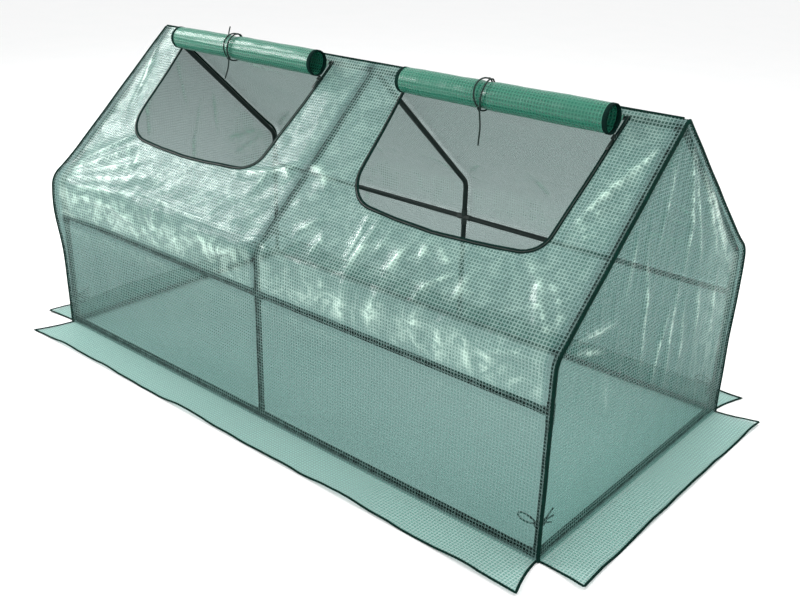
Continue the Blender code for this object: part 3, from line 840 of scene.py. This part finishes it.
def make_long_cover(side, name, node):
    """The front or back cover, from the ridge to the foot. In front, the mesh meets the windows' edges
    and is cut away inside them."""
    columns = round(2 * (HALF_LENGTH - PIPING_INSET) / CELL)
    rows = round(COVER / CELL)
    reach = HALF_LENGTH - PIPING_INSET
    across, down = np.meshgrid(np.linspace(-reach, reach, columns), np.linspace(COVER_TOP, COVER, rows))
    inside = None
    if side < 0:
        outlines = [window_outline(centre) for centre in WINDOWS.values()]
        places = np.stack([across.ravel(), down.ravel()], axis=-1)
        for outline in outlines:
            nearest, off, _ = nearest_on(outline, places)
            places = np.where((off < CELL * 0.5)[:, None], nearest, places)
        across, down = places[:, 0].reshape(rows, columns), places[:, 1].reshape(rows, columns)

        def inside(middle):
            return np.any([nearest_on(outline, middle)[2] for outline in outlines], axis=0)

    lift, painted_sheen = cover_lie(across, down, side)
    points = cover_place(across, down, lift - SHEET_INSET, side)
    flat = np.stack([across, down], axis=-1)
    made = grid_sheet(name, points, flat, film if side < 0 else shaded_film,
                      turned=side < 0, inside=inside, painted_sheen=painted_sheen)
    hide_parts(node)
    return made


def gable_edge(height):
    """Half the gable's width at a height, on the seam's line, and how far down the seam that is."""
    down = np.linspace(0, COVER, 400)
    line = cover_place(np.zeros_like(down), down, -PIPING_INSET * np.ones_like(down), 1)[::-1]
    return np.interp(height, line[:, 2], line[:, 1]), np.interp(height, line[:, 2], down[::-1])


def gable_lie(y, z, end):
    """How far a gable's film lies out from its taut plane, and how much sheen is painted on it for
    reflections.
    """
    half, _ = gable_edge(z)
    from_edge = np.minimum(half - np.abs(y), z - FOOT_Z)
    free = ramp(from_edge, 0.0, 0.05)
    lift = -GABLE_SAG * free * bell(z, 0.42, 0.30) - GABLE_SLACK * free
    seed = GABLE_SEEDS[end]
    lift += GABLE_FACETS[1] * crumple(y * 2.2, z * 0.6, GABLE_FACETS[0], seed) * free
    lift += GABLE_FINE_FACETS[1] * crumple(y * 1.3, z, GABLE_FINE_FACETS[0], seed + 1) * free
    painted_sheen = np.zeros_like(y)
    # Painted sheen along each fold's crest and on a low patch towards one side, standing in for
    # reflections
    for points, height, width in GABLE_FOLDS:
        crease = fold(end * y, z, points, width)
        lift += height * crease * ramp(from_edge, 0.0, 0.025)
        painted_sheen += crease ** PAINTED_SHEEN_POWER * height / GABLE_PAINTED_SHEEN_HEIGHT
    painted_sheen += 0.30 * ramp(y, 0.16, 0.36) * ramp(z, 0.06, 0.30)
    tube = np.maximum(bell(np.abs(y), FRAME_Y, 0.02), bell(z, FOOT_Z + TUBE_REST, TUBE_REST))
    lift = np.maximum(lift, -TUBE_DEPTH - GABLE_DEPTH * (1 - tube) * free)
    inwards = (half - np.abs(y)) * np.where(z > EAVE_Z, math.sin(SLOPE), 1)
    on_tube = np.maximum(bell(inwards, TUBE_INSET, TUBE_PRESS),
                         bell(z, FOOT_Z + TUBE_INSET, TUBE_PRESS))
    return lift, np.clip(painted_sheen, 0, 1) * (1 - on_tube) - PRESSED * on_tube


def make_gable(end, name, node):
    """A gable of film, drawn out to its seams where they stand off the frame."""
    share, z = np.meshgrid(np.linspace(-1, 1, GABLE_COLUMNS), np.linspace(FOOT_Z, GABLE_TOP, GABLE_ROWS))
    half, down = gable_edge(z)
    y = share * half
    lift, painted_sheen = gable_lie(y, z, end)
    pulled = np.where(share < 0, edge_slack(down, -1, end), edge_slack(down, 1, end))
    y = y + np.sign(share) * pulled * np.abs(share) ** 6
    points = np.stack([end * (HALF_LENGTH - SHEET_INSET + lift), y, z], axis=-1)
    flat = np.stack([y, z], axis=-1)
    made = grid_sheet(name, points, flat, gable_film if end > 0 else shaded_film,
                      turned=end < 0, painted_sheen=painted_sheen)
    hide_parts(node)
    return made


def seam_path(end):
    """The gable seam from the front foot over the ridge to the back foot, as the film pulls it."""
    down = np.concatenate([np.linspace(COVER, WALL_START, 60), np.linspace(WALL_START, ROOF, 12)[1:],
                           np.linspace(ROOF, 0.006, 60)[1:]])
    x = np.full_like(down, end * (HALF_LENGTH - PIPING_INSET))
    front, back = (cover_place(x, down, edge_slack(down, side, end) - PIPING_INSET, side)
                   for side in (-1, 1))
    return even_steps(np.concatenate([front, back[::-1]]), PATH_SPACING)


def make_piping():
    """Round piping in both gable seams and along the ridge."""
    for end, suffix in ENDS.items():
        path = seam_path(end)
        path[:, 0] += np.sin(lengths_along(path) * 37 + end) * 0.0004
        across, up = carried_frames(path, (1, 0, 0))
        seam = sweep(f"gable_seam_{suffix}", path, across, up, circle(GABLE_PIPING_R), binding)
        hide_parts(f"gable_piping_{suffix}")
    x = np.arange(-PIPING_REACH, PIPING_REACH, 0.01)
    top = APEX_Z - PIPING_INSET / math.cos(SLOPE) - 0.0006 * window_bays(x)
    ridge = np.stack([x, 0.0006 * np.sin(x * 23), top], axis=-1)
    across, up = carried_frames(ridge, (0, 0, 1))
    seam = sweep("ridge_seam", ridge, across, up, circle(RIDGE_PIPING_R), binding)
    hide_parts("ridge_piping")


# ---------------------------------------------------------------- skirts

def skirt_corner(side, share, out):
    """A skirt's place at a share along its wall, -1 to 1, and out from the wall, 0 to 1."""
    long_side = side in SIDES.values()
    half = (HALF_LENGTH if long_side else HALF_DEPTH) - SKIRT_SHORT
    flare = SKIRT_FLARE if long_side else SKIRT_FLARE / 2
    tip = 0.35 + 0.65 * np.abs(share) ** 14
    along = share * (half + flare * out ** 1.6 * tip)
    wall = HALF_DEPTH if long_side else HALF_LENGTH
    hollow = 0.006 * (1 - np.abs(share) ** 8)
    off = wall - SKIRT_UNDER + (SKIRT_WIDTH + 0.0016 - hollow) * out
    turn = {"front": (1, 0, 0, -1), "right": (0, 1, 1, 0), "back": (-1, 0, 0, 1),
            "left": (0, -1, -1, 0)}[side]
    return along * turn[0] + off * turn[2], along * turn[1] + off * turn[3], along


def skirt_rise(along, out, seed):
    """How far a skirt lies off the ground, in slack waves that grow towards its outer edge."""
    draw = random.Random(seed)
    wave = np.zeros_like(along)
    for span in SKIRT_WAVES:
        wave += span * np.sin(2 * math.pi * (along / span + draw.random()) + out * 1.1)
    wave = 0.5 + wave * 0.55
    crease = 0.0008 * crumple(along, out * SKIRT_WIDTH, 0.05, seed + 5)
    return 0.0008 + 0.0105 * np.clip(wave, 0.04, 1.4) * out ** 1.3 + np.abs(crease) * ramp(out, 0, 0.3)


def make_skirt(side, seed):
    """A ground skirt and the binding sewn round its three free edges."""
    half = HALF_LENGTH if side in SIDES.values() else HALF_DEPTH
    columns = round(2 * half / SKIRT_SPACING)
    share, out = np.meshgrid(np.linspace(-1, 1, columns), np.linspace(0, 1, SKIRT_ROWS))
    x, y, along = skirt_corner(side, share, out)
    points = np.stack([x, y, skirt_rise(along, out, seed)], axis=-1)
    flat = np.stack([along, out * SKIRT_WIDTH], axis=-1)
    made = grid_sheet(f"ground_skirt_{side}", points, flat, skirt_film, turned=True)
    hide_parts(f"skirt_{side}")
    outwards = np.linspace(0, 1, RIM_STEPS)
    shares = np.concatenate([-np.ones(RIM_STEPS), np.linspace(-1, 1, columns)[1:],
                             np.ones(RIM_STEPS)[1:]])
    outs = np.concatenate([outwards, np.ones(columns)[1:], outwards[::-1][1:]])
    x, y, along = skirt_corner(side, shares, outs)
    rim = np.stack([x, y, skirt_rise(along, outs, seed) + 0.0004], axis=-1)
    rim = even_steps(rim, PATH_SPACING)
    up = np.tile([0.0, 0.0, 1.0], (len(rim), 1))
    heading = np.gradient(rim, axis=0)
    across = np.cross(heading / np.linalg.norm(heading, axis=1)[:, None], up)
    edge = sweep(f"skirt_binding_{side}", rim, across, up,
                 strap(SKIRT_BINDING_WIDTH, SKIRT_BINDING_THICK), binding)


# ---------------------------------------------------------------- windows

def tape_run(centre, offset, proud, spacing=0.004):
    """A line along a window's zip, offset inwards on the film, and its directions across and up."""
    outline = even_steps(window_outline(centre, WINDOW_TOP + 0.0005), spacing)
    heading = np.gradient(outline, axis=0)
    heading /= np.linalg.norm(heading, axis=1)[:, None]
    inward = np.stack([heading[:, 1], -heading[:, 0]], axis=-1)
    middle = on_front(outline[:, 0], outline[:, 1], proud)
    moved = outline + inward * (offset + 0.002)
    side = on_front(moved[:, 0], moved[:, 1], proud) - middle
    across = side / np.linalg.norm(side, axis=1)[:, None]
    ahead = np.gradient(middle, axis=0)
    up = np.cross(across, ahead / np.linalg.norm(ahead, axis=1)[:, None])
    up *= np.sign(up[:, 2:3])
    up /= np.linalg.norm(up, axis=1)[:, None]
    return middle + across * offset, across, up


def make_zip(suffix, centre):
    """A window's zip tape, and the row of nylon teeth along its outer edge."""
    path, across, up = tape_run(centre, 0.0, 0.0006)
    tape = sweep(f"window_zip_tape_{suffix}", path, across, up, strap(TAPE_WIDTH, TAPE_THICK),
                 zip_tape)
    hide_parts(f"zip_tape_{suffix}")
    path, across, up = tape_run(centre, -TOOTH_ASIDE, 0.0017, TOOTH_SPACING)
    vertices, faces = [], []
    for middle, side, top, ahead in zip(path, across, up, np.gradient(path, axis=0)):
        ahead = ahead / np.linalg.norm(ahead) * TOOTH_HALF
        base = len(vertices)
        for step in (-1, 1):
            vertices += [list(middle + side * a + top * b + ahead * step) for a, b in TOOTH]
        faces += [[base + k for k in ring] for ring in
                  ((0, 3, 2, 1), (4, 5, 6, 7), (0, 1, 5, 4), (1, 2, 6, 5), (2, 3, 7, 6), (3, 0, 4, 7))]
    mesh = bpy.data.meshes.new("zip_teeth")
    mesh.from_pydata(vertices, [], faces)
    add_object(f"window_zip_teeth_{suffix}", mesh, zip_nylon, smooth=False)
    rework(mesh, face_outwards)


def slope_point(across, down, out):
    """A point over the front slope's taut face."""
    return Vector((across, -down * math.cos(SLOPE) - out * math.sin(SLOPE),
                   APEX_Z - down * math.sin(SLOPE) + out * math.cos(SLOPE)))


def roll_spiral(share, radius):
    """The flap's section as (down, out): its seam, the web, and two turns round a hollow core.
    share is where along the roll, -1 to 1."""
    seam = np.array([WINDOW_TOP + 0.0006, -0.0005])
    centre = np.array([ROLL_DOWN, ROLL_OUT])
    back = seam - centre
    far = math.hypot(*back)
    tangent = math.atan2(back[1], back[0]) + math.acos(radius / far)
    turns = np.linspace(0, ROLL_TURNS * 2 * math.pi, 130)
    wobble = 0.0007 * np.sin(turns * 1.7 + share * 2.3) * ramp(turns, 0.0, 1.5)
    shrink = radius - FLAP_THICK * turns / (2 * math.pi) + wobble
    flatten = 1 - 0.035 * np.sin(tangent + turns) ** 2
    spiral = centre + np.stack([shrink * np.cos(tangent + turns),
                                shrink * flatten * np.sin(tangent + turns)], axis=-1)
    web = np.linspace(0, 1, 9)[:-1, None]
    web = seam * (1 - web) + spiral[0] * web
    return np.concatenate([web, spiral])


def roll_radius(x, centre, suffix):
    """The roll is a little conical, and its tie draws it in."""
    share = (x - centre) / ROLL_HALF
    radius = ROLL_R * (0.985 + 0.035 * share)
    radius -= 0.0024 * bell(x, centre + TIE_SHIFT, 0.016)
    return radius + 0.0004 * math.sin(share * 9 + (1.0 if suffix == "left" else 2.4))


def make_flap(suffix, centre):
    """A window's flap rolled up under the ridge, with the tape bound round both of its ends."""
    body = f"flap_{suffix}"
    xs = np.linspace(centre - ROLL_HALF, centre + ROLL_HALF, ROLL_COLUMNS)
    sections = np.array([roll_spiral((x - centre) / ROLL_HALF, roll_radius(x, centre, suffix))
                         for x in xs])
    x = np.repeat(xs[:, None], sections.shape[1], axis=1)
    step = np.arange(sections.shape[1])
    ripple = ROLL_FACETS[1] * crumple(x, step[None] * FLAP_SPACING + 0 * x, ROLL_FACETS[0],
                                      ROLL_SEEDS[suffix])
    from_core = sections - np.array([ROLL_DOWN, ROLL_OUT])
    from_core /= np.linalg.norm(from_core, axis=2)[:, :, None]
    sections = sections + from_core * (ripple * ramp(step, 8, 30)[None])[:, :, None]
    down, out = sections[:, :, 0], sections[:, :, 1]
    y = -down * math.cos(SLOPE) - out * math.sin(SLOPE)
    z = APEX_Z - down * math.sin(SLOPE) + out * math.cos(SLOPE)
    points = np.stack([x, y, z], axis=-1)
    walked = lengths_along(sections[ROLL_COLUMNS // 2])
    flat = np.stack([x - centre, np.repeat(walked[None], ROLL_COLUMNS, axis=0)], axis=-1)
    made = grid_sheet(f"rolled_flap_{suffix}", points, flat, flap_film, body)
    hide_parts(f"flap_roll_{suffix}")
    core = np.array([0, *slope_point(0, ROLL_DOWN, ROLL_OUT)[1:]])
    for place, column, inset in (("start", 0, FLAP_BINDING_INSET), ("end", -1, -FLAP_BINDING_INSET)):
        path = even_steps(points[column, 12:], FLAP_SPACING)
        path[:, 0] += inset
        up = path - core
        up[:, 0] = 0
        up /= np.linalg.norm(up, axis=1)[:, None]
        across = np.tile([1.0, 0.0, 0.0], (len(path), 1))
        sweep(f"flap_binding_{suffix}_{place}", path, across, up,
                           strap(FLAP_BINDING_WIDTH, FLAP_BINDING_THICK), zip_tape,
                           body)


def round_roll(across, radius, start, end, steps):
    """Points round a roll from one angle to another, in degrees."""
    points = []
    for k in range(steps + 1):
        angle = math.radians(start + (end - start) * k / steps)
        points.append(slope_point(across, ROLL_DOWN + radius * math.cos(angle),
                                  ROLL_OUT + radius * math.sin(angle)))
    return points


def make_cord(name, points, radius, body, first_up=(0, 0, 1)):
    """A free cord through points, which leaves what holds it at the first of them."""
    path = smooth_path(points, CORD_SPACING)
    across, up = carried_frames(path, first_up)
    made = sweep(name, path, across, up, circle(radius, 8), cord_yarn, body,
                 around_uv=True)
    return made


def make_knot(name, middle, size, body):
    """An overhand knot: two short fat turns of cord drawn tight round each other."""
    turns = [2 * math.pi * k / 40 for k in range(41)]
    path = np.array([[middle.x + size * 0.85 * math.sin(t) * (1 + 0.25 * math.cos(2 * t)),
                      middle.y + size * 0.55 * math.sin(2 * t) * 0.8,
                      middle.z + size * 0.75 * math.cos(t)] for t in turns])
    across, up = carried_frames(path, (0, 1, 0))
    return sweep(name, path, across, up, circle(size * 0.52, 10), cord_yarn, body,
                 around_uv=True)


def make_roll_tie(suffix, centre):
    """A cord twice round a roll, knotted in front, with one end hanging down."""
    body = f"flap_{suffix}"
    spread, drop, lean = ROLL_TIES[suffix]
    middle = centre + TIE_SHIFT
    knot_at = round_roll(middle, TIE_TRACK_R + 0.0026, -5, -5, 1)[0]
    knot = make_knot(f"tie_knot_{suffix}", knot_at, ROLL_KNOT, body)

    def turn_of(start, radius, angles, way):
        """Over the roll from start, bowed out sideways."""
        turn = [start]
        for k, point in enumerate(round_roll(middle, radius, *angles, 12)):
            bow = TIE_APART + spread * math.sin(math.pi * k / 12)
            turn.append(point + Vector((way * bow, 0, 0)))
        return turn

    over = turn_of(slope_point(middle + TIE_APART, 0.0245, 0.0060), TIE_TRACK_R, (165, -2), 1)
    over.append(knot_at + Vector((0.003, -0.002, -0.002)))
    over += [knot_at + Vector((0.002, -0.002, -0.006)) + Vector((
        lean * t + 0.004 * math.sin(t * 4), -0.002 * math.sin(t * 3), -drop * t))
        for t in (0.25, 0.5, 0.75, 1.0)]
    first = make_cord(f"roll_tie_over_{suffix}", over, TIE_R, body)
    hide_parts(f"roll_tie_{suffix}")
    back = turn_of(slope_point(middle - TIE_APART, 0.0250, 0.0050), TIE_TRACK_R + 0.0004, (163, 6), -1)
    make_cord(f"roll_tie_back_{suffix}", back, TIE_R, body)
    under = [slope_point(middle - TIE_APART, 0.0262, -0.0046)]
    under += [point - Vector((TIE_APART, 0, 0))
              for point in round_roll(middle, TIE_TRACK_R, -106, -12, 8)]
    make_cord(f"roll_tie_under_{suffix}", under, TIE_R, body)
    if suffix == "left":
        top = round_roll(middle, TIE_TRACK_R + 0.003, 100, 100, 1)[0]
        make_cord("roll_tie_end_left", [top + Vector(step) for step in ROLL_TIE_END], TIE_R * 0.9,
                  body, first_up=(1, 0, 0))


# ---------------------------------------------------------------- corner ties

def make_corner_tie(name, side, end):
    """A cord round a corner leg, with a flat loop along the long wall and short ends along the gable."""
    leg = Vector((end * FRAME_X, side * FRAME_Y, CORNER_TIE_Z))
    along_wall = Vector((-end, 0, 0))
    along_gable = Vector((0, -side, 0))
    up = Vector((0, 0, 1))
    inward = (along_wall + along_gable).normalized()
    turned = inward.cross(up)
    band = [leg + CORNER_TIE_TRACK_R * (inward * math.cos(t) + turned * math.sin(t)) + up * 0.0016 * t
            for t in [math.radians(degrees) for degrees in range(-170, 171, 20)]]
    knot_at = leg + along_gable * 0.0170 - along_wall * 0.0010
    knot = make_knot(f"{name}_knot", knot_at, CORNER_KNOT, "greenhouse")

    def lay_end(suffix, start, way, places, facing):
        make_cord(f"{name}_{suffix}", [start + way * out + up * rise for out, rise in places],
                  CORNER_TIE_R, "greenhouse", first_up=facing)

    lay_end("loop", leg + along_wall * 0.0105 - along_gable * 0.0012, along_wall, CORNER_TIE_LOOP,
            along_gable)
    for suffix, places in CORNER_TIE_ENDS.items():
        lay_end(suffix, knot_at, along_gable, places, along_wall)
    make_cord(f"{name}_wrap", band, CORNER_TIE_R, "greenhouse")


# ---------------------------------------------------------------- camera, light and floor

def add_camera():
    azimuth, elevation, roll = (math.radians(angle)
                                for angle in (CAMERA_AZIMUTH, CAMERA_ELEVATION, CAMERA_ROLL))
    ahead = Vector((-math.sin(azimuth) * math.cos(elevation),
                    math.cos(azimuth) * math.cos(elevation), -math.sin(elevation)))
    right = Vector((math.cos(azimuth), math.sin(azimuth), 0))
    up = right.cross(ahead)
    turned_right = right * math.cos(roll) + up * math.sin(roll)
    turned_up = turned_right.cross(ahead)
    data = bpy.data.cameras.new("camera")
    data.sensor_width = CAMERA_SENSOR
    data.lens = CAMERA_LENS
    camera = bpy.data.objects.new("camera", data)
    axes = Matrix((turned_right, turned_up, -ahead)).transposed().to_4x4()
    camera.matrix_world = Matrix.Translation(CAMERA_PLACE) @ axes
    bpy.context.scene.collection.objects.link(camera)
    bpy.context.scene.camera = camera


def add_lamp(name, place, target, size, power):
    data = bpy.data.lights.new(name, "AREA")
    data.shape = "RECTANGLE"
    data.size, data.size_y = size
    data.energy = power
    lamp = bpy.data.objects.new(name, data)
    aim = Vector(target) - Vector(place)
    lamp.matrix_world = Matrix.Translation(place) @ aim.to_track_quat("-Z", "Y").to_matrix().to_4x4()
    bpy.context.scene.collection.objects.link(lamp)


def add_studio():
    """A white room with a pale floor and five lamps."""
    made = Finish("pale_floor")
    speck = made.noise(made.place(), 3.0, 3.0)
    floor_paint = made.surface(
        Base_Color=made.mix(speck, rgb(0.90, 0.91, 0.91), rgb(0.93, 0.93, 0.93)), Roughness=0.9)
    bpy.ops.object.select_all(action="DESELECT")
    bpy.ops.mesh.primitive_plane_add(size=24, location=(0, 0, -0.0002))
    floor = bpy.context.active_object
    floor.name = "floor"
    floor.data.materials.append(floor_paint)
    world = bpy.data.worlds.new("studio")
    world.use_nodes = True
    background = world.node_tree.nodes["Background"]
    background.inputs["Color"].default_value = rgb(1.0, 1.0, 1.0)
    background.inputs["Strength"].default_value = 1.0
    bpy.context.scene.world = world
    for name, settings in LAMPS.items():
        add_lamp(name, *settings)
    bpy.context.scene.view_settings.view_transform = "Standard"


# ---------------------------------------------------------------- the whole greenhouse

def finish_frame():
    """Finishes for the tubes, joints and zip hardware, which keep their CAD shapes."""
    finishes = {"frame_tube": steel, "joint_plastic": plastic, "zip_metal": lacquer}
    for node, slot in slot_of.items():
        if slot in finishes:
            mesh = frame["nodes"][node].data
            mesh.materials.clear()
            mesh.materials.append(finishes[slot])


def declare_cover(cut_away=0.0):
    settings = {"area": COVER * 2 * HALF_LENGTH - cut_away} if cut_away else {}


add_camera()
add_studio()
for suffix, centre in WINDOWS.items():
    make_roll_tie(suffix, centre)
for side, side_name in SIDES.items():
    for end, end_name in ENDS.items():
        make_corner_tie(f"corner_tie_{side_name}_{end_name}", side, end)

finish_frame()
make_piping()
front = make_long_cover(-1, "cover_sheet_front", "cover_front")
back = make_long_cover(1, "cover_sheet_back", "cover_back")
for suffix, centre in WINDOWS.items():
    make_zip(suffix, centre)
    make_flap(suffix, centre)
declare_cover(len(WINDOWS) * 2 * WINDOW_LOW_HALF * (WINDOW_LOW - WINDOW_TOP))
declare_cover()
for end, suffix in ENDS.items():
    gable = make_gable(end, f"cover_sheet_{suffix}", f"cover_end_{suffix}")
for seed, side in enumerate(("front", "right", "back", "left"), start=FIRST_SKIRT_SEED):
    make_skirt(side, seed)
